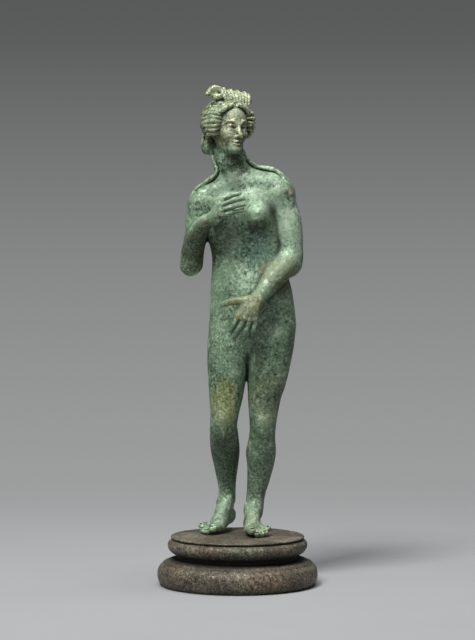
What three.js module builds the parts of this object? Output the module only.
// A bronze statuette of Venus on a round moulded base, at its real size.
// Millimetres, +Z up, +X to the viewer's right and -Y towards the viewer.
// The origin is the middle of the base's underside.
// The figure is modelled as soft volumes that flow into one another on a grid. The grid is
// skinned with tetrahedra, and the skin is then thinned out where the surface is calm.
import * as THREE from "three";

// Driving dimensions
const BASE_HEIGHT = 33;
const BASE_TOP_RADIUS = 44.7;
const BASE_FOOT_RADIUS = 53.75;
const BASE_SIDES = 48;
const FIGURE_LOW = [-44, -24, BASE_HEIGHT - 3];
const FIGURE_HIGH = [50, 50, 337];
const GRID_STEP = 1;
const FIGURE_TRIANGLES = 7800;
const SOLE_SLACK = 0.1;

// Materials
const GREEN_BRONZE = new THREE.MeshStandardMaterial({ color: 0x5d7563, roughness: 0.55, metalness: 0.35 });
const BROWN_BRONZE = new THREE.MeshStandardMaterial({ color: 0x5a5147, roughness: 0.7, metalness: 0.25 });

// Vector helpers on plain [x, y, z] lists
const plus = (a, b) => [a[0] + b[0], a[1] + b[1], a[2] + b[2]];
const minus = (a, b) => [a[0] - b[0], a[1] - b[1], a[2] - b[2]];
const times = (a, scale) => [a[0] * scale, a[1] * scale, a[2] * scale];
const mix = (a, b, share) => plus(times(a, 1 - share), times(b, share));
const dot = (a, b) => a[0] * b[0] + a[1] * b[1] + a[2] * b[2];
const size = (a) => Math.sqrt(dot(a, a));
const unit = (a) => times(a, 1 / size(a));
const across = (a, b) => [a[1] * b[2] - a[2] * b[1], a[2] * b[0] - a[0] * b[2], a[0] * b[1] - a[1] * b[0]];

// Directions of a frame that looks along forward: side is its left hand, up is upright to both
function frameFacing(origin, forward, up = [0, 0, 1]) {
  const f = unit(forward);
  const side = unit(across(up, f));
  const u = across(f, side);
  const axes = [side, f, u];
  const place = (s, along, height) =>
    plus(origin, plus(plus(times(side, s), times(f, along)), times(u, height)));
  return { axes, place };
}

const WORLD_AXES = [[1, 0, 0], [0, 1, 0], [0, 0, 1]];

// An ellipsoid. radii run along the three axes.
function ball(centre, radii, axes = WORLD_AXES) {
  const reach = Math.max(...radii);
  const far = [reach, reach, reach];
  return {
    low: minus(centre, far),
    high: plus(centre, far),
    distance(p) {
      const d = minus(p, centre);
      let level = 0;
      let steepness = 0;
      for (let i = 0; i < 3; i++) {
        const part = dot(d, axes[i]) / radii[i];
        level += part * part;
        steepness += (part * part) / (radii[i] * radii[i]);
      }
      if (level < 1e-9) return -Math.min(...radii);
      return (level - Math.sqrt(level)) / Math.sqrt(steepness);
    },
  };
}

// A round rod from a to b whose radius runs from ra to rb, with round ends
function rod(a, b, ra, rb = ra) {
  const axis = minus(b, a);
  const lengthSquared = dot(axis, axis);
  const reach = Math.max(ra, rb);
  return {
    low: a.map((value, i) => Math.min(value, b[i]) - reach),
    high: a.map((value, i) => Math.max(value, b[i]) + reach),
    distance(p) {
      const d = minus(p, a);
      const share = Math.min(1, Math.max(0, dot(d, axis) / lengthSquared));
      return size(minus(d, times(axis, share))) - (ra + (rb - ra) * share);
    },
  };
}

// A round rod that follows a smooth curve through the points, with a radius at each point
function strand(points, radii, steps = 5) {
  const curve = new THREE.CatmullRomCurve3(points.map((p) => new THREE.Vector3(...p)), false, "centripetal");
  const count = (points.length - 1) * steps;
  const parts = [];
  const at = (i) => curve.getPoint(i / count).toArray();
  const radiusAt = (i) => {
    const whole = Math.min(points.length - 2, Math.floor(i / steps));
    const share = i / steps - whole;
    return radii[whole] + (radii[whole + 1] - radii[whole]) * share;
  };
  for (let i = 0; i < count; i++) parts.push(rod(at(i), at(i + 1), radiusAt(i), radiusAt(i + 1)));
  return together(parts);
}

// Several shapes as one, with no blend between them
function together(parts) {
  return {
    low: [0, 1, 2].map((i) => Math.min(...parts.map((part) => part.low[i]))),
    high: [0, 1, 2].map((i) => Math.max(...parts.map((part) => part.high[i]))),
    distance: (p) => {
      let least = Infinity;
      for (const part of parts) least = Math.min(least, part.distance(p));
      return least;
    },
  };
}

// A limb along an upright bone, with an oval section that changes from station to station.
// Each station is [height, sideways, backwards, half width, depth in front, depth behind].
function limb(stations, { squareness = 2, cap = 5 } = {}) {
  const steps = 96;
  const first = stations[0][0];
  const last = stations[stations.length - 1][0];
  const table = [];
  for (let i = 0; i <= steps; i++) table.push(stationAt(stations, first + ((last - first) * i) / steps));
  return {
    ...boxOfStations(stations, cap),
    distance([x, y, z]) {
      const clamped = Math.min(last, Math.max(first, z));
      const place = ((clamped - first) / (last - first)) * steps;
      const i = Math.min(steps - 1, Math.floor(place));
      const share = place - i;
      const [a, b] = [table[i], table[i + 1]];
      const value = (k) => a[k] + (b[k] - a[k]) * share;
      const u = Math.abs(x - value(0)) / value(2);
      const back = y - value(1);
      const depth = back < 0 ? value(3) : value(4);
      const v = Math.abs(back) / depth;
      const w = Math.abs(z - clamped) / cap;
      const n = squareness;
      const level = (u ** n + v ** n + w ** n) ** (1 / n);
      if (level < 1e-6) return -value(2);
      const slope = Math.hypot(u ** (n - 1) / value(2), v ** (n - 1) / depth, w ** (n - 1) / cap);
      return ((level - 1) * level ** (n - 1)) / slope;
    },
  };
}

// The section at one place along a limb, on a curve with no overshoot between the stations
function stationAt(stations, along) {
  let i = 0;
  while (i < stations.length - 2 && along > stations[i + 1][0]) i++;
  const [a, b] = [stations[i], stations[i + 1]];
  const before = stations[Math.max(0, i - 1)];
  const after = stations[Math.min(stations.length - 1, i + 2)];
  const span = b[0] - a[0];
  const t = (along - a[0]) / span;
  const slope = (k, p, q) => (q[0] === p[0] ? 0 : (q[k] - p[k]) / (q[0] - p[0]));
  return [1, 2, 3, 4, 5].map((k) => {
    const startSlope = slope(k, before, b) * span;
    const endSlope = slope(k, a, after) * span;
    const [t2, t3] = [t * t, t * t * t];
    return (
      (2 * t3 - 3 * t2 + 1) * a[k] + (t3 - 2 * t2 + t) * startSlope +
      (3 * t2 - 2 * t3) * b[k] + (t3 - t2) * endSlope
    );
  });
}

// The box of a limb, as { low, high }
function boxOfStations(stations, cap) {
  const edge = (k, sign, sizes) =>
    Math[sign < 0 ? "min" : "max"](...stations.map((s) => s[k] + sign * Math.max(...sizes.map((n) => s[n]))));
  const heights = stations.map((s) => s[0]);
  return {
    low: [edge(1, -1, [3]), edge(2, -1, [4, 5]), Math.min(...heights) - cap],
    high: [edge(1, 1, [3]), edge(2, 1, [4, 5]), Math.max(...heights) + cap],
  };
}

// Clay holds the distance to the surface at every point of a grid, below nought inside.
class Clay {
  constructor(low, high, step) {
    this.low = low;
    this.step = step;
    this.count = high.map((value, i) => Math.ceil((value - low[i]) / step) + 1);
    this.level = new Float32Array(this.count[0] * this.count[1] * this.count[2]).fill(1e3);
  }

  // Visits the grid points in a shape's box, widened by the blend
  fold(shape, blend, join) {
    const room = blend + 1.5 * this.step;
    const range = [0, 1, 2].map((i) => [
      Math.max(0, Math.floor((shape.low[i] - room - this.low[i]) / this.step)),
      Math.min(this.count[i] - 1, Math.ceil((shape.high[i] + room - this.low[i]) / this.step)),
    ]);
    const [nx, ny] = this.count;
    for (let k = range[2][0]; k <= range[2][1]; k++)
      for (let j = range[1][0]; j <= range[1][1]; j++)
        for (let i = range[0][0]; i <= range[0][1]; i++) {
          const at = i + nx * (j + ny * k);
          this.level[at] = join(this.level[at], shape.distance(this.pointOf(i, j, k)));
        }
  }

  pointOf(i, j, k) {
    return [this.low[0] + i * this.step, this.low[1] + j * this.step, this.low[2] + k * this.step];
  }

  // Adds a shape. Within the blend the two surfaces flow into one another.
  add(shape, blend = 1) {
    this.fold(shape, blend, (a, b) => softLeast(a, b, blend));
  }

  // Takes a shape away, with the edge softened over the blend
  cut(shape, blend = 1) {
    this.fold(shape, blend, (a, b) => -softLeast(-a, b, blend));
  }

  // Cuts everything below a height away
  cutBelow(height) {
    const [nx, ny, nz] = this.count;
    for (let k = 0; k < nz; k++) {
      const below = height - (this.low[2] + k * this.step);
      for (let at = nx * ny * k; at < nx * ny * (k + 1); at++)
        this.level[at] = Math.max(this.level[at], below);
    }
  }

  // The surface as { positions, triangles }. Each cube is split into six tetrahedra that share its
  // long diagonal, so that the surface is always closed.
  skin() {
    const [nx, ny, nz] = this.count;
    const steps = [1, nx, nx * ny];
    const orders = [[0, 1, 2], [1, 2, 0], [2, 0, 1], [0, 2, 1], [2, 1, 0], [1, 0, 2]];
    const positions = [];
    const triangles = [];
    const vertexOfEdge = new Map();
    const coordinates = (at) => {
      const k = Math.floor(at / steps[2]);
      const j = Math.floor((at - k * steps[2]) / nx);
      return this.pointOf(at - k * steps[2] - j * nx, j, k);
    };
    const vertexBetween = (a, b) => {
      const key = a < b ? a * 4194304 + (b - a) : b * 4194304 + (a - b);
      const known = vertexOfEdge.get(key);
      if (known !== undefined) return known;
      const [p, q] = [coordinates(Math.min(a, b)), coordinates(Math.max(a, b))];
      const [levelP, levelQ] = [this.level[Math.min(a, b)], this.level[Math.max(a, b)]];
      const share = Math.min(0.97, Math.max(0.03, levelP / (levelP - levelQ)));
      positions.push(...mix(p, q, share));
      const made = positions.length / 3 - 1;
      vertexOfEdge.set(key, made);
      return made;
    };
    for (let k = 0; k < nz - 1; k++)
      for (let j = 0; j < ny - 1; j++)
        for (let i = 0; i < nx - 1; i++) {
          const corner = i + nx * (j + ny * k);
          let inside = 0;
          for (let n = 0; n < 8; n++)
            if (this.level[corner + (n & 1) + (n & 2 ? nx : 0) + (n & 4 ? steps[2] : 0)] < 0) inside++;
          if (inside === 0 || inside === 8) continue;
          orders.forEach((order, n) => {
            const c1 = corner + steps[order[0]];
            const c2 = c1 + steps[order[1]];
            const middle = n < 3 ? [c1, c2] : [c2, c1];
            const corners = [corner, ...middle, c2 + steps[order[2]]];
            skinTetrahedron(corners, this.level, vertexBetween, triangles);
          });
        }
    return { positions, triangles };
  }
}

// A smooth least of two distances, rounded where they are within the blend of each other
function softLeast(a, b, blend) {
  const near = Math.max(blend - Math.abs(a - b), 0) / blend;
  return Math.min(a, b) - near * near * blend * 0.25;
}

// Adds the triangles that part a tetrahedron's inside corners from its outside ones
function skinTetrahedron(corners, level, vertexBetween, triangles) {
  const inside = corners.filter((c) => level[c] < 0);
  if (inside.length === 0 || inside.length === 4) return;
  const evenOrders = [[0, 1, 2, 3], [1, 0, 3, 2], [2, 0, 1, 3], [3, 0, 2, 1], [0, 2, 3, 1], [0, 3, 1, 2],
    [1, 2, 0, 3], [1, 3, 2, 0], [2, 3, 0, 1]];
  const isIn = corners.map((c) => level[c] < 0);
  if (inside.length === 2) {
    const order = evenOrders.find(([a, b]) => isIn[a] && isIn[b]);
    const [a, b, c, d] = order.map((n) => corners[n]);
    const [ac, ad] = [vertexBetween(a, c), vertexBetween(a, d)];
    const [bc, bd] = [vertexBetween(b, c), vertexBetween(b, d)];
    triangles.push(ac, ad, bd, ac, bd, bc);
    return;
  }
  const lone = inside.length === 1;
  const order = evenOrders.slice(0, 4).find(([a]) => isIn[a] === lone);
  const [a, b, c, d] = order.map((n) => corners[n]);
  const [ab, ac, ad] = [vertexBetween(a, b), vertexBetween(a, c), vertexBetween(a, d)];
  if (lone) triangles.push(ab, ac, ad);
  else triangles.push(ab, ad, ac);
}

// The surface without the small pockets that locks of hair close off: only the triangles that hang
// together with the largest number of others are kept
function outerShell({ positions, triangles }) {
  const leader = Array.from({ length: positions.length / 3 }, (_, v) => v);
  const lead = (v) => {
    let top = v;
    while (leader[top] !== top) top = leader[top];
    for (let step = v; step !== top; ) {
      const next = leader[step];
      leader[step] = top;
      step = next;
    }
    return top;
  };
  for (let t = 0; t < triangles.length; t += 3) {
    leader[lead(triangles[t])] = lead(triangles[t + 1]);
    leader[lead(triangles[t + 1])] = lead(triangles[t + 2]);
  }
  const sizes = new Map();
  for (const v of triangles) sizes.set(lead(v), (sizes.get(lead(v)) ?? 0) + 1);
  const largest = [...sizes].reduce((one, other) => (other[1] > one[1] ? other : one))[0];
  return { positions, triangles: triangles.filter((_, i) => lead(triangles[i - (i % 3)]) === largest) };
}

// Thins a closed surface to about the wanted number of triangles. The edge whose loss bends the
// surface least goes first. care(point) says how much more a place matters than the plain skin.
function thinOut({ positions, triangles }, wanted, care) {
  const vertexCount = positions.length / 3;
  const quadric = new Float64Array(vertexCount * 10);
  const facesOf = Array.from({ length: vertexCount }, () => []);
  const faces = [];
  const point = (v) => [positions[3 * v], positions[3 * v + 1], positions[3 * v + 2]];
  for (let t = 0; t < triangles.length; t += 3) {
    const face = [triangles[t], triangles[t + 1], triangles[t + 2]];
    for (const v of face) facesOf[v].push(faces.length);
    faces.push(face);
    const [p, q, r] = face.map(point);
    const normal = across(minus(q, p), minus(r, p));
    const area = size(normal);
    if (area < 1e-12) continue;
    const [x, y, z] = times(normal, 1 / area);
    const w = -(x * p[0] + y * p[1] + z * p[2]);
    const weight = area * care(p);
    const terms = [x * x, x * y, x * z, x * w, y * y, y * z, y * w, z * z, z * w, w * w];
    for (const v of face) for (let m = 0; m < 10; m++) quadric[10 * v + m] += weight * terms[m];
  }
  const heap = new Heap();
  const stamp = new Uint32Array(vertexCount);
  const neighbours = (v) => {
    const found = [];
    for (const f of facesOf[v]) for (const w of faces[f]) if (w !== v && !found.includes(w)) found.push(w);
    return found;
  };
  const offer = (a, b) => {
    const q = new Float64Array(10);
    for (let m = 0; m < 10; m++) q[m] = quadric[10 * a + m] + quadric[10 * b + m];
    const [pa, pb] = [point(a), point(b)];
    const apart = minus(pa, pb);
    const middle = mix(pa, pb, 0.5);
    const least = lowestOf(q);
    const places = [middle, pa, pb].concat(least && size(minus(least, middle)) < size(apart) ? [least] : []);
    const choices = places.map((at) => [levelOf(q, at), at]).sort((one, other) => one[0] - other[0]);
    const cost = choices[0][0] + 2e-3 * dot(apart, apart);
    heap.push({ a, b, choices, cost, stampA: stamp[a], stampB: stamp[b] });
  };
  const areaOf = (p, q, r) => across(minus(q, p), minus(r, p));
  const evenness = (p, q, r) => {
    const sides = [minus(q, p), minus(r, q), minus(p, r)].map((side) => dot(side, side));
    return size(areaOf(p, q, r)) / (1e-12 + Math.max(...sides));
  };
  // True if moving v to the new place folds or flattens one of its faces that stays. A sliver has
  // no sure direction of its own, so each face is judged together with the faces around it.
  const wouldFold = (v, other, at, lean) => {
    for (const f of facesOf[v]) {
      if (faces[f].includes(other)) continue;
      const old = faces[f].map(point);
      const moved = faces[f].map((w) => (w === v ? at : point(w)));
      const before = plus(areaOf(...old), lean);
      const after = areaOf(...moved);
      if (dot(before, after) < 0.3 * size(before) * size(after)) return true;
      const even = evenness(...moved);
      if (even < 0.08 && even < evenness(...old)) return true;
    }
    return false;
  };
  const leanOf = (v) =>
    facesOf[v].reduce((sum, f) => plus(sum, times(areaOf(...faces[f].map(point)), 0.1)), [0, 0, 0]);
  let alive = faces.length;
  for (let round = 0; round < 6 && alive > wanted; round++) {
    for (let v = 0; v < vertexCount; v++) for (const w of neighbours(v)) if (w > v) offer(v, w);
    while (alive > wanted) {
      const next = heap.pop();
      if (!next) break;
      const { a, b, choices } = next;
      if (next.stampA !== stamp[a] || next.stampB !== stamp[b]) continue;
      const around = neighbours(a);
      const shared = neighbours(b).filter((w) => around.includes(w)).length;
      if (shared !== 2) continue;
      const lean = plus(leanOf(a), leanOf(b));
      const stays = ([, place]) => !wouldFold(a, b, place, lean) && !wouldFold(b, a, place, lean);
      const found = choices.find(stays);
      if (!found) continue;
      for (const f of facesOf[b]) {
        if (faces[f].includes(a)) {
          for (const v of faces[f]) if (v !== b) facesOf[v] = facesOf[v].filter((g) => g !== f);
          faces[f] = null;
          alive--;
        } else {
          faces[f] = faces[f].map((v) => (v === b ? a : v));
          facesOf[a].push(f);
        }
      }
      facesOf[b] = [];
      for (let i = 0; i < 3; i++) positions[3 * a + i] = found[1][i];
      for (let m = 0; m < 10; m++) quadric[10 * a + m] += quadric[10 * b + m];
      stamp[a]++;
      stamp[b]++;
      for (const w of neighbours(a)) offer(a, w);
    }
  }
  return faces.filter(Boolean);
}

// The value of a quadric, which is ten numbers, at a point
function levelOf(q, [x, y, z]) {
  return (
    q[0] * x * x + 2 * q[1] * x * y + 2 * q[2] * x * z + 2 * q[3] * x + q[4] * y * y +
    2 * q[5] * y * z + 2 * q[6] * y + q[7] * z * z + 2 * q[8] * z + q[9]
  );
}

// The point where a quadric is least, or null where it has none
function lowestOf(q) {
  const rows = [[q[0], q[1], q[2]], [q[1], q[4], q[5]], [q[2], q[5], q[7]]];
  const wanted = [-q[3], -q[6], -q[8]];
  const whole = dot(rows[0], across(rows[1], rows[2]));
  const mean = (q[0] + q[4] + q[7]) / 3;
  if (Math.abs(whole) < 1e-4 * mean ** 3) return null;
  return [
    dot(wanted, across(rows[1], rows[2])) / whole,
    dot(rows[0], across(wanted, rows[2])) / whole,
    dot(rows[0], across(rows[1], wanted)) / whole,
  ];
}

// A heap that gives up the cheapest entry first
class Heap {
  constructor() {
    this.entries = [];
  }

  push(entry) {
    const list = this.entries;
    let i = list.push(entry) - 1;
    while (i > 0) {
      const parent = (i - 1) >> 1;
      if (list[parent].cost <= list[i].cost) break;
      [list[parent], list[i]] = [list[i], list[parent]];
      i = parent;
    }
  }

  pop() {
    const list = this.entries;
    if (!list.length) return null;
    const first = list[0];
    const last = list.pop();
    if (list.length) {
      list[0] = last;
      for (let i = 0; ; ) {
        const left = 2 * i + 1;
        if (left >= list.length) break;
        const child = left + 1 < list.length && list[left + 1].cost < list[left].cost ? left + 1 : left;
        if (list[i].cost <= list[child].cost) break;
        [list[i], list[child]] = [list[child], list[i]];
        i = child;
      }
    }
    return first;
  }
}

// The trunk from the groin to the collar, then what lies on it
function modelTrunk(clay) {
  clay.add(
    limb(
      [
        [150, 8.6, 14.5, 8.0, 8.0, 9.0],
        [157, 9.4, 14.5, 17.0, 12.0, 13.5],
        [164, 10.0, 14.5, 25.5, 14.8, 17.0],
        [171, 10.2, 14.5, 28.4, 16.6, 18.5],
        [178, 10.2, 14.5, 28.8, 17.4, 18.0],
        [190, 9.6, 14.0, 28.0, 17.4, 15.5],
        [200, 8.9, 13.5, 26.8, 16.6, 13.5],
        [209, 7.8, 13.5, 25.0, 15.6, 12.4],
        [218, 6.6, 13.5, 23.7, 14.8, 12.4],
        [227, 4.9, 13.5, 23.4, 14.6, 13.2],
        [237, 3.6, 13.5, 23.2, 15.0, 14.6],
        [247, 2.6, 13.5, 22.8, 15.0, 15.6],
        [256, 1.6, 13.5, 21.6, 13.6, 15.0],
        [263, 0.9, 14.0, 17.6, 11.0, 12.5],
        [269, -1.0, 14.5, 12.0, 8.6, 10.0],
      ],
      { squareness: 2.3, cap: 4 },
    ),
    1,
  );
  clay.add(ball([-3.5, 23.5, 171.5], [13.2, 10.6, 13.5]), 7);
  clay.add(ball([23.5, 24.0, 175.0], [13.6, 11.0, 13.8]), 7);
  clay.cut(ball([10.3, 36.5, 171], [1.6, 6.5, 15]), 5);
  clay.add(ball([8.5, 4.5, 192], [15, 9.6, 13.5]), 8);
  clay.cut(ball([5.2, -4.2, 208], [1.5, 2.6, 1.9]), 2);
  clay.cut(rod([6.6, 27.6, 196], [1.6, 30.4, 252], 1.6, 1.8), 6);
  clay.add(ball([13.5, 8.4, 257.5], [12.0, 7.8, 10.0]), 6);
  clay.add(ball([13.2, 0.2, 246.0], [8.2, 9.5, 8.8]), 3);
  clay.add(ball([-9.0, 1.0, 244.6], [8.8, 9.0, 8.8]), 3);
  clay.add(ball([13.3, -8.6, 248.0], [1.5, 1.7, 1.5]), 1.6);
}

// The shoulders: the yoke from the neck to both arms, the collar bones and the shoulder blades
function modelShoulders(clay) {
  clay.add(rod([1, 15, 268.8], [24, 13.2, 268.2], 8.0), 6);
  clay.add(rod([-6, 15.5, 266.6], [-18.5, 14.5, 259.5], 8.0, 7.6), 6);
  clay.add(rod([-1.5, 17, 279], [13, 15.5, 269.5], 5.6, 7.0), 4);
  clay.add(rod([-7, 17, 279], [-14.5, 15.5, 264.5], 5.6, 6.4), 4);
  clay.add(ball([28.4, 12.5, 262.4], [9.0, 9.4, 10.4]), 6);
  clay.add(ball([-23.4, 14.0, 256.6], [8.8, 9.0, 10.0]), 6);
  clay.add(rod([0, 5.4, 269.4], [20, 6.6, 269.2], 1.1, 1.3), 6);
  clay.add(rod([-5, 5.6, 268.4], [-17.5, 7.8, 263.8], 1.1, 1.3), 6);
  clay.add(ball([17, 26, 248], [7, 4, 10]), 6);
  clay.add(ball([-12, 26.5, 245], [7, 4, 10]), 6);
}

function modelNeck(clay) {
  clay.add(rod([-1.5, 14.8, 266], [-5.4, 12.4, 290], 9.8, 9.0), 5);
  clay.add(rod([-13.5, 12.5, 290], [-4.2, 4.8, 270.5], 2.6, 1.8), 3);
  clay.add(rod([3.0, 11.5, 288], [-0.8, 4.8, 270.5], 2.4, 1.8), 3);
}

// A leg is a thigh and calf with a knee cap, and the muscles that give it its outline
function modelLegs(clay) {
  clay.add(
    limb(
      [
        [54, -7.2, 30.0, 5.9, 6.2, 7.0],
        [60, -7.0, 28.0, 5.8, 6.2, 7.4],
        [67, -7.3, 25.6, 6.5, 6.6, 8.4],
        [79, -7.9, 20.5, 8.4, 7.6, 10.8],
        [90, -8.4, 15.6, 9.8, 8.6, 12.4],
        [99, -9.0, 11.6, 9.6, 9.0, 11.4],
        [106, -9.3, 8.6, 9.1, 9.4, 10.6],
        [113, -8.7, 8.2, 9.5, 9.8, 11.2],
        [121, -7.9, 9.4, 10.8, 11.2, 12.6],
        [131, -7.3, 10.8, 12.0, 12.8, 14.0],
        [147, -6.7, 12.2, 13.5, 14.6, 16.0],
        [162, -5.5, 13.5, 14.6, 15.6, 17.0],
        [172, -4.5, 14.0, 14.0, 15.0, 16.5],
      ],
      { squareness: 2.1 },
    ),
    3,
  );
  clay.add(
    limb(
      [
        [46, 11.2, 20.0, 6.1, 6.4, 7.4],
        [58, 12.5, 19.2, 6.3, 6.6, 7.8],
        [67, 14.1, 18.2, 7.5, 7.2, 9.4],
        [79, 15.6, 16.4, 9.1, 8.2, 11.8],
        [88, 15.9, 15.0, 10.0, 8.8, 12.6],
        [97, 16.5, 13.4, 8.8, 9.0, 11.2],
        [104, 17.0, 12.4, 8.7, 9.4, 10.4],
        [112, 17.4, 12.2, 9.6, 9.8, 11.0],
        [123, 18.1, 12.4, 11.0, 11.4, 12.6],
        [131, 19.4, 12.6, 12.5, 12.8, 14.0],
        [147, 21.2, 13.2, 14.6, 14.8, 16.4],
        [162, 23.2, 14.0, 15.2, 15.8, 17.4],
        [172, 24.0, 14.5, 14.6, 15.2, 17.0],
      ],
      { squareness: 2.1 },
    ),
    3,
  );
  clay.add(ball([-10.0, 1.6, 108.5], [5.2, 3.6, 5.6]), 5);
  clay.add(ball([16.8, 4.6, 107.5], [5.2, 3.6, 5.6]), 5);
  clay.add(ball([-5.0, 24.5, 90], [4.8, 5, 9]), 6);
  clay.add(ball([-11.5, 24.0, 92], [4.8, 5, 9]), 6);
  clay.add(ball([12.4, 23.5, 86], [4.8, 5, 9]), 6);
  clay.add(ball([19.4, 23.0, 88], [4.8, 5, 9]), 6);
}

// A foot stands on its sole from the heel, along its own heading. outward is +1 for a foot whose
// little toe is at its left hand, and lift raises the heel while the toes stay down.
function modelFoot(clay, { heel, heading, outward, lift }) {
  const frame = frameFacing(heel, [Math.sin(heading), -Math.cos(heading), 0]);
  const ballAt = 28;
  const at = (along, side, height) =>
    frame.place(side * outward, along, height + lift * Math.max(0, 1 - along / ballAt));
  clay.add(ball(at(6.5, 0, 6.0), [5.2, 6.4, 6.2], frame.axes), 4);
  clay.add(rod(at(11.5, -0.5, 14), at(26, -1.8, 6.4), 5.6, 4.4), 3);
  clay.add(rod(at(8, 1.2, 4.2), at(27, 3.6, 3.8), 4.2, 3.4), 3);
  clay.add(rod(at(8, -1.0, 5.4), at(28, -4.0, 4.6), 4.2, 4.0), 3);
  clay.add(ball(at(12.0, -4.4, 18), [1.5, 2.4, 2.8], frame.axes), 2);
  clay.add(ball(at(11.0, 4.2, 15), [1.5, 2.4, 2.8], frame.axes), 2);
  const toes = [
    [30, -4.6, 4.2, 39.6, -4.4, 4.6, 2.9, 2.5],
    [30.5, -1.0, 3.6, 39.4, -0.6, 2.3, 2.0, 1.9],
    [30, 1.8, 3.4, 38.0, 2.3, 2.1, 2.1, 1.9],
    [29, 4.4, 3.8, 35.6, 5.0, 2.8, 2.2, 1.9],
    [27, 6.2, 4.6, 32.2, 7.4, 5.0, 2.3, 2.0],
  ];
  for (const [a, sideA, heightA, b, sideB, heightB, ra, rb] of toes)
    clay.add(rod(at(a, sideA, heightA), at(b, sideB, heightB), ra, rb), 1);
}

// An arm from the shoulder to the wrist. upper holds sections as in limb.
function modelArm(clay, { upper, forearm, thickness, tip }) {
  clay.add(limb(upper, { cap: 6 }), 5);
  clay.add(strand(forearm, thickness), 4);
  clay.add(ball(tip, [4.2, 4.2, 4.6]), 4);
}

// A hand from the wrist. Each finger is [knuckle, middle joint, tip].
function modelHand(clay, { wrist, fingers, thumb, radius }) {
  for (const [knuckle] of fingers) clay.add(rod(wrist, knuckle, 3.4, radius * 1.15), 3);
  clay.add(rod(thumb[0], fingers[0][0], radius * 1.6, radius * 1.1), 2.5);
  for (const joints of fingers)
    clay.add(strand(joints, [radius * 1.08, radius * 1.02, radius * 0.85]), 0.5);
  clay.add(strand(thumb, [radius * 1.8, radius * 1.45, radius * 0.95]), 1.2);
}

function modelArms(clay) {
  modelArm(clay, {
    upper: [
      [213, -30.9, 12.4, 7.2, 7.0, 7.0],
      [222, -30.2, 12.6, 7.4, 7.2, 7.4],
      [233, -28.0, 13.0, 7.6, 7.8, 7.8],
      [243, -27.2, 13.4, 7.7, 8.0, 8.0],
      [250, -25.8, 13.8, 7.8, 8.4, 8.4],
      [255, -24.2, 14.0, 8.2, 8.8, 8.8],
    ],
    forearm: [
      [-31.0, 11.0, 215.0],
      [-29.2, 6.0, 226.0],
      [-26.6, 0.0, 234.5],
      [-22.0, -6.0, 241.0],
      [-15.8, -10.2, 244.0],
    ],
    thickness: [6.2, 6.8, 6.4, 5.3, 4.4],
    tip: [-32.0, 13.2, 211.4],
  });
  modelHand(clay, {
    wrist: [-15.4, -10.6, 244.3],
    radius: 1.7,
    fingers: [
      [[-11.1, -13.8, 256.2], [-4.6, -13.6, 258.8], [1.2, -11.0, 260.4]],
      [[-11.2, -15.4, 252.9], [-3.4, -15.8, 255.4], [3.9, -13.4, 257.2]],
      [[-10.8, -15.9, 249.5], [-3.0, -16.4, 251.6], [4.6, -14.0, 253.3]],
      [[-10.2, -15.4, 246.1], [-3.4, -15.8, 247.8], [3.2, -13.6, 249.4]],
    ],
    thumb: [[-13.6, -9.0, 249.5], [-9.5, -8.8, 255.2], [-5.2, -8.6, 258.6]],
  });
  modelArm(clay, {
    upper: [
      [214, 36.5, 9.6, 6.9, 7.2, 7.2],
      [222, 36.5, 9.8, 7.3, 7.6, 7.6],
      [233, 35.6, 10.6, 8.3, 8.2, 8.2],
      [245, 33.8, 11.4, 8.7, 8.4, 8.4],
      [254, 31.4, 12.2, 8.6, 8.8, 8.8],
      [261, 29.4, 12.5, 8.6, 9.0, 9.0],
    ],
    forearm: [
      [35.2, 9.0, 219.0],
      [31.0, 3.4, 212.0],
      [24.2, -4.2, 204.8],
      [18.6, -9.6, 197.4],
      [14.4, -12.6, 192.4],
    ],
    thickness: [7.2, 8.0, 7.3, 5.8, 4.9],
    tip: [36.2, 10.0, 210.8],
  });
  modelHand(clay, {
    wrist: [13.2, -13.4, 190.8],
    radius: 1.9,
    fingers: [
      [[0.4, -16.0, 179.4], [-2.2, -16.2, 174.4], [-4.4, -13.4, 170.0]],
      [[4.4, -17.2, 177.8], [1.4, -17.8, 171.8], [-2.0, -14.6, 165.4]],
      [[8.3, -17.4, 177.0], [6.2, -18.0, 170.4], [3.8, -15.0, 164.0]],
      [[12.2, -16.6, 177.4], [10.8, -17.2, 171.2], [8.8, -14.6, 165.4]],
    ],
    thumb: [[6.5, -13.8, 189.8], [-2.4, -13.2, 189.4], [-9.4, -11.0, 187.5]],
  });
}

// The head's own frame: its middle, where it looks, and up
const HEAD = frameFacing([-5.9, 9.5, 304.6], [0.49, -0.87, 0.02]);

// A shape given in the head's frame: sideways to its left, forwards and up
const inHead = (side, forward, up) => HEAD.place(side, forward, up);
const headBall = (at, radii) => ball(inHead(...at), radii, HEAD.axes);
const headRod = (a, b, ra, rb) => rod(inHead(...a), inHead(...b), ra, rb);
const headStrand = (points, radii) => strand(points.map((p) => inHead(...p)), radii);

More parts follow.
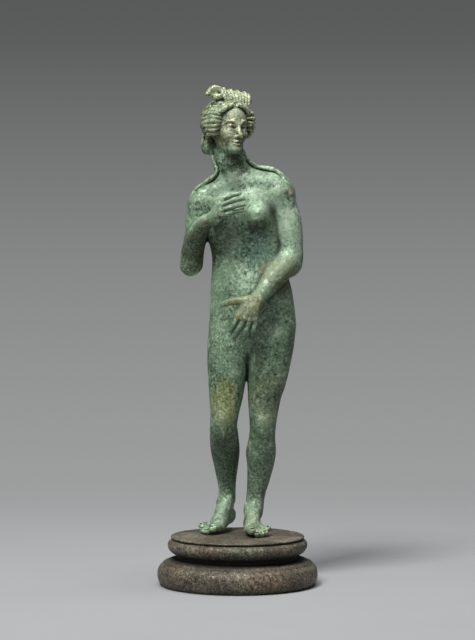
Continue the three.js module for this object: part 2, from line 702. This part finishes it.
function modelHead(clay) {
  clay.add(headBall([0, -2.0, 5.2], [12.4, 15.4, 12.9]), 3);
  clay.add(headBall([0, 1.8, -3.0], [9.6, 11.4, 11.8]), 4);
  clay.add(headBall([0, 7.8, -12.6], [5.0, 4.9, 5.0]), 4);
  for (const side of [-1, 1]) {
    clay.add(headRod([6.6 * side, -1.0, -8.4], [2.2 * side, 8.2, -14.2], 2.0, 2.2), 3.5);
    clay.add(headBall([5.7 * side, 8.4, -4.4], [3.2, 3.3, 3.6]), 3);
    clay.cut(headBall([4.5 * side, 14.4, 0.3], [3.4, 2.9, 2.3]), 1.4);
    clay.add(headBall([4.5 * side, 10.2, -0.1], [2.6, 2.35, 1.95]), 0.5);
  }
  clay.add(headRod([0, 12.6, 2.8], [0, 15.7, -5.4], 1.3, 1.5), 1.2);
  clay.add(headBall([0, 14.3, -6.1], [2.6, 1.6, 1.2]), 1);
  clay.add(headBall([0, 12.4, -9.6], [3.0, 1.6, 0.8]), 0.8);
  clay.add(headBall([0, 12.2, -11.5], [2.4, 1.6, 0.9]), 0.8);
  clay.add(headBall([0, 11.0, -14.9], [3.0, 2.3, 2.2]), 1.8);
}

// The ellipsoid that the hair lies on, in the head's frame
const HAIR_RADII = [16.6, 17.6, 15];
const HAIR_MIDDLE = [0, -2.6, 4.6];
const DEGREE = Math.PI / 180;

// A place on the hair's outside: around runs from the forehead past the ear to the nape, and
// above is the height angle, both in degrees
function onHair(side, around, above, rise = 0) {
  const level = Math.cos(above * DEGREE);
  return inHead(
    side * (HAIR_RADII[0] + rise) * Math.sin(around * DEGREE) * level,
    (HAIR_RADII[1] + rise) * Math.cos(around * DEGREE) * level + HAIR_MIDDLE[1],
    (HAIR_RADII[2] + rise) * Math.sin(above * DEGREE) + HAIR_MIDDLE[2],
  );
}

function modelHair(clay) {
  clay.add(headBall([0, -4.6, 4.9], [14.9, 13.9, 13.7]), 1.5);
  for (const side of [-1, 1]) {
    modelRolls(clay, side);
    modelTempleLocks(clay, side);
  }
  modelCrown(clay);
  modelKnot(clay);
}

// Wavy rolls from the middle parting to the back, one above the other
function modelRolls(clay, side) {
  const rolls = 3;
  const rollGap = 15;
  const around = [3, 11, 20, 31, 39, 50, 70, 92, 118, 150];
  const above = [41, 45.5, 41, 34, 27, 24, 28, 26, 20, 4];
  const radii = [1.3, 1.7, 1.9, 1.9, 1.9, 1.9, 1.9, 1.8, 1.7, 1.3];
  for (let roll = 0; roll < rolls; roll++) {
    const path = around.map((turn, i) => onHair(side, turn, above[i] + rollGap * roll));
    clay.add(strand(path, radii, 3), 0.4);
  }
}

// Locks that leave the temple and lie back over the ear, one below the other
function modelTempleLocks(clay, side) {
  const locks = 5;
  const puff = side > 0 ? 1.3 : 0;
  const rises = [-3.4, puff - 0.6, puff, puff, 0, 0, 0];
  for (let lock = 0; lock < locks; lock++) {
    const height = 9.2 - 3.3 * lock;
    const last = -1.5 - 1.5 * lock;
    const path = [0, 8, 18, 34, 54, 80, 106].map((ahead, i) => {
      const turn = 42 + 3 * lock + ahead;
      const share = Math.min(1, Math.max(0, (turn - 95) / 60));
      const level = height + (last - height) * share;
      const above = Math.asin((level - HAIR_MIDDLE[2]) / HAIR_RADII[2]) / DEGREE;
      return onHair(side, turn, above, rises[i]);
    });
    clay.add(strand(path, [1.2, 1.6, 1.7, 1.7, 1.7, 1.6, 1.2], 3), 0.4);
  }
}

// The combed hair on the back of the head, from the crown down to the knot
function modelCrown(clay) {
  const locks = 5;
  for (let lock = 0; lock < locks; lock++) {
    const turn = (-60 + 30 * lock) * DEGREE;
    const path = [64, 44, 22, 0, -18].map((tilt) => [
      14.9 * Math.sin(turn) * Math.cos(tilt * DEGREE) * (1 - 0.006 * (64 - tilt)),
      -13.1 * Math.cos(turn) * Math.cos(tilt * DEGREE) - 5.2,
      13.8 * Math.sin(tilt * DEGREE) + 5.8,
    ]);
    clay.add(headStrand(path, [1.4, 2.0, 2.3, 2.2, 1.7]), 0.5);
  }
}

// The knot at the nape out of turned locks
function modelKnot(clay) {
  clay.add(headBall([-3.6, -18.0, -10.2], [7.6, 5.8, 6.4]), 2);
  const turns = 3;
  for (let turn = 0; turn < turns; turn++) {
    const path = [
      [-11.4 + turn, -16 - turn, -9 + 3 * turn],
      [-6, -22.4 - 0.6 * turn, -14 + 4.4 * turn],
      [1.5, -22, -12 + 4.4 * turn],
      [4.2, -17, -9 + 3 * turn],
    ];
    clay.add(headStrand(path, [1.4, 1.9, 1.9, 1.4]), 0.6);
  }
}

// The bow on the crown: upright locks side by side, with a curled loop at each end
function modelBow(clay) {
  clay.add(headRod([-7, 1.5, 17.9], [10.5, 2.0, 17.9], 3.0, 3.2), 2);
  const locks = 7;
  for (let lock = 0; lock < locks; lock++) {
    const share = lock / (locks - 1);
    const foot = -5.5 + 16.5 * share;
    const top = -8 + 21 * share;
    const crest = 25.8 - 2.9 * share + (lock % 2 ? 0.5 : -0.3);
    const path = [
      [foot, 8.0, 15.6],
      [(foot + top) / 2, 6.9, 20.6],
      [top, 3.0, crest],
      [top * 0.9, -2.5, crest - 3.5],
    ];
    clay.add(headStrand(path, [1.2, 1.6, 1.7, 1.2]), 0.4);
  }
  const curl = [
    [-4.5, 3.2, 21.9],
    [-8.0, 2.6, 25.6],
    [-12.0, 1.8, 26.2],
    [-15.0, 1.3, 24.4],
    [-16.2, 1.2, 22.4],
  ];
  clay.add(headStrand(curl, [1.9, 2.4, 2.3, 1.9, 2.0]), 0.6);
  clay.add(headBall([-9.5, 0.8, 22.0], [5.0, 2.0, 3.4]), 1);
  clay.add(headStrand([[-3.5, 5.2, 19.8], [-7.6, 4.4, 20.9], [-11.2, 3.2, 20.3]], [1.6, 1.9, 2.0]), 0.5);
  clay.add(headStrand([[10, 3, 21.1], [13.6, 1.8, 21.2], [15.8, 1.0, 18.0]], [2.2, 2.2, 1.7]), 0.8);
}

// Two locks that leave the nape and lie along the shoulders, on a bed of metal
function modelTresses(clay) {
  const right = [
    [-17.2, 19.0, 291.0],
    [-16.4, 15.0, 285.5],
    [-15.0, 11.5, 280.4],
    [-13.8, 9.6, 275.6],
    [-16.8, 9.4, 272.2],
    [-22.2, 9.6, 268.2],
    [-26.9, 9.0, 264.6],
    [-29.6, 8.4, 261.0],
    [-31.0, 8.6, 256.0],
  ];
  modelTress(clay, right, [1.7, 1.6, 1.6, 1.7, 1.8, 1.8, 1.8, 1.7, 1.1]);
  const left = [
    [3.4, 19.0, 290.0],
    [5.8, 17.2, 285.6],
    [9.2, 15.0, 282.0],
    [13.8, 13.2, 279.4],
    [20.2, 11.4, 278.2],
    [25.2, 9.6, 277.0],
    [28.8, 7.6, 274.2],
    [31.2, 6.0, 270.4],
    [33.4, 4.8, 266.0],
    [35.4, 4.4, 261.2],
    [36.8, 5.0, 256.0],
  ];
  modelTress(clay, left, [1.6, 1.5, 1.5, 1.5, 1.5, 1.6, 1.7, 1.9, 2.3, 2.5, 1.5]);
}

function modelTress(clay, points, radii) {
  const bed = points.map((p) => plus(p, [0, 1.4, -1.1]));
  clay.add(strand(bed, radii.map((radius) => 0.9 * radius)), 1.5);
  clay.add(strand(points, radii), 0.5);
}

// How closely the thinned skin keeps to the clay: closest on the face, hands and feet
function careAt([x, y, z]) {
  if (z > 284) return 3;
  if (z < BASE_HEIGHT + 12) return 4;
  if (y < -6 && ((z > 240 && x < 8) || z < 198)) return 4;
  return 1;
}

function buildFigure() {
  const clay = new Clay(FIGURE_LOW, FIGURE_HIGH, GRID_STEP);
  modelTrunk(clay);
  modelLegs(clay);
  modelShoulders(clay);
  modelNeck(clay);
  modelArms(clay);
  modelFoot(clay, { heel: [8.9, 24.5, BASE_HEIGHT], heading: 0.12, outward: 1, lift: 0 });
  modelFoot(clay, { heel: [-4.0, 37.0, BASE_HEIGHT], heading: -0.43, outward: -1, lift: 5.5 });
  modelHead(clay);
  modelHair(clay);
  modelBow(clay);
  modelTresses(clay);
  clay.cutBelow(BASE_HEIGHT);
  const skin = outerShell(clay.skin());
  const faces = thinOut(skin, FIGURE_TRIANGLES, careAt);
  return meshOf(skin.positions, faces);
}

// A closed geometry of the faces, with the points that they no longer use left out. The soles lie
// flat on the base.
function meshOf(positions, faces) {
  const newIndex = new Map();
  const kept = [];
  const index = faces.flat().map((v) => {
    if (!newIndex.has(v)) {
      newIndex.set(v, newIndex.size);
      const height = positions[3 * v + 2];
      const level = height < BASE_HEIGHT + SOLE_SLACK ? BASE_HEIGHT : height;
      kept.push(positions[3 * v], positions[3 * v + 1], level);
    }
    return newIndex.get(v);
  });
  const geometry = new THREE.BufferGeometry();
  geometry.setAttribute("position", new THREE.Float32BufferAttribute(kept, 3));
  geometry.setIndex(index);
  geometry.computeVertexNormals();
  return geometry;
}

// The base is turned: a disc on a round moulding, a narrow neck and a broad round foot
function buildBase() {
  const profile = [
    [0, 0],
    [50.4, 0],
    [52.2, 1.4],
    [53.4, 4.2],
    [BASE_FOOT_RADIUS, 7.4],
    [53.2, 10.8],
    [51.6, 13.4],
    [50.2, 14.6],
    [49.8, 15.3],
    [46.2, 16.8],
    [41.6, 18.0],
    [40.4, 18.8],
    [40.4, 20.0],
    [42.6, 21.0],
    [45.6, 23.2],
    [46.9, 26.4],
    [46.3, 28.8],
    [44.2, 30.6],
    [43.8, 31.1],
    [BASE_TOP_RADIUS, 31.6],
    [BASE_TOP_RADIUS - 0.1, 32.5],
    [BASE_TOP_RADIUS - 0.8, BASE_HEIGHT],
    [0, BASE_HEIGHT],
  ];
  const geometry = new THREE.LatheGeometry(profile.map(([r, z]) => new THREE.Vector2(r, z)), BASE_SIDES);
  return geometry.rotateX(Math.PI / 2);
}

function namedMesh(name, geometry, material) {
  const mesh = new THREE.Mesh(geometry, material);
  mesh.name = name;
  return mesh;
}

const statuette = new THREE.Group();
statuette.add(namedMesh("figure", buildFigure(), GREEN_BRONZE));
statuette.add(namedMesh("base", buildBase(), BROWN_BRONZE));

export default statuette;
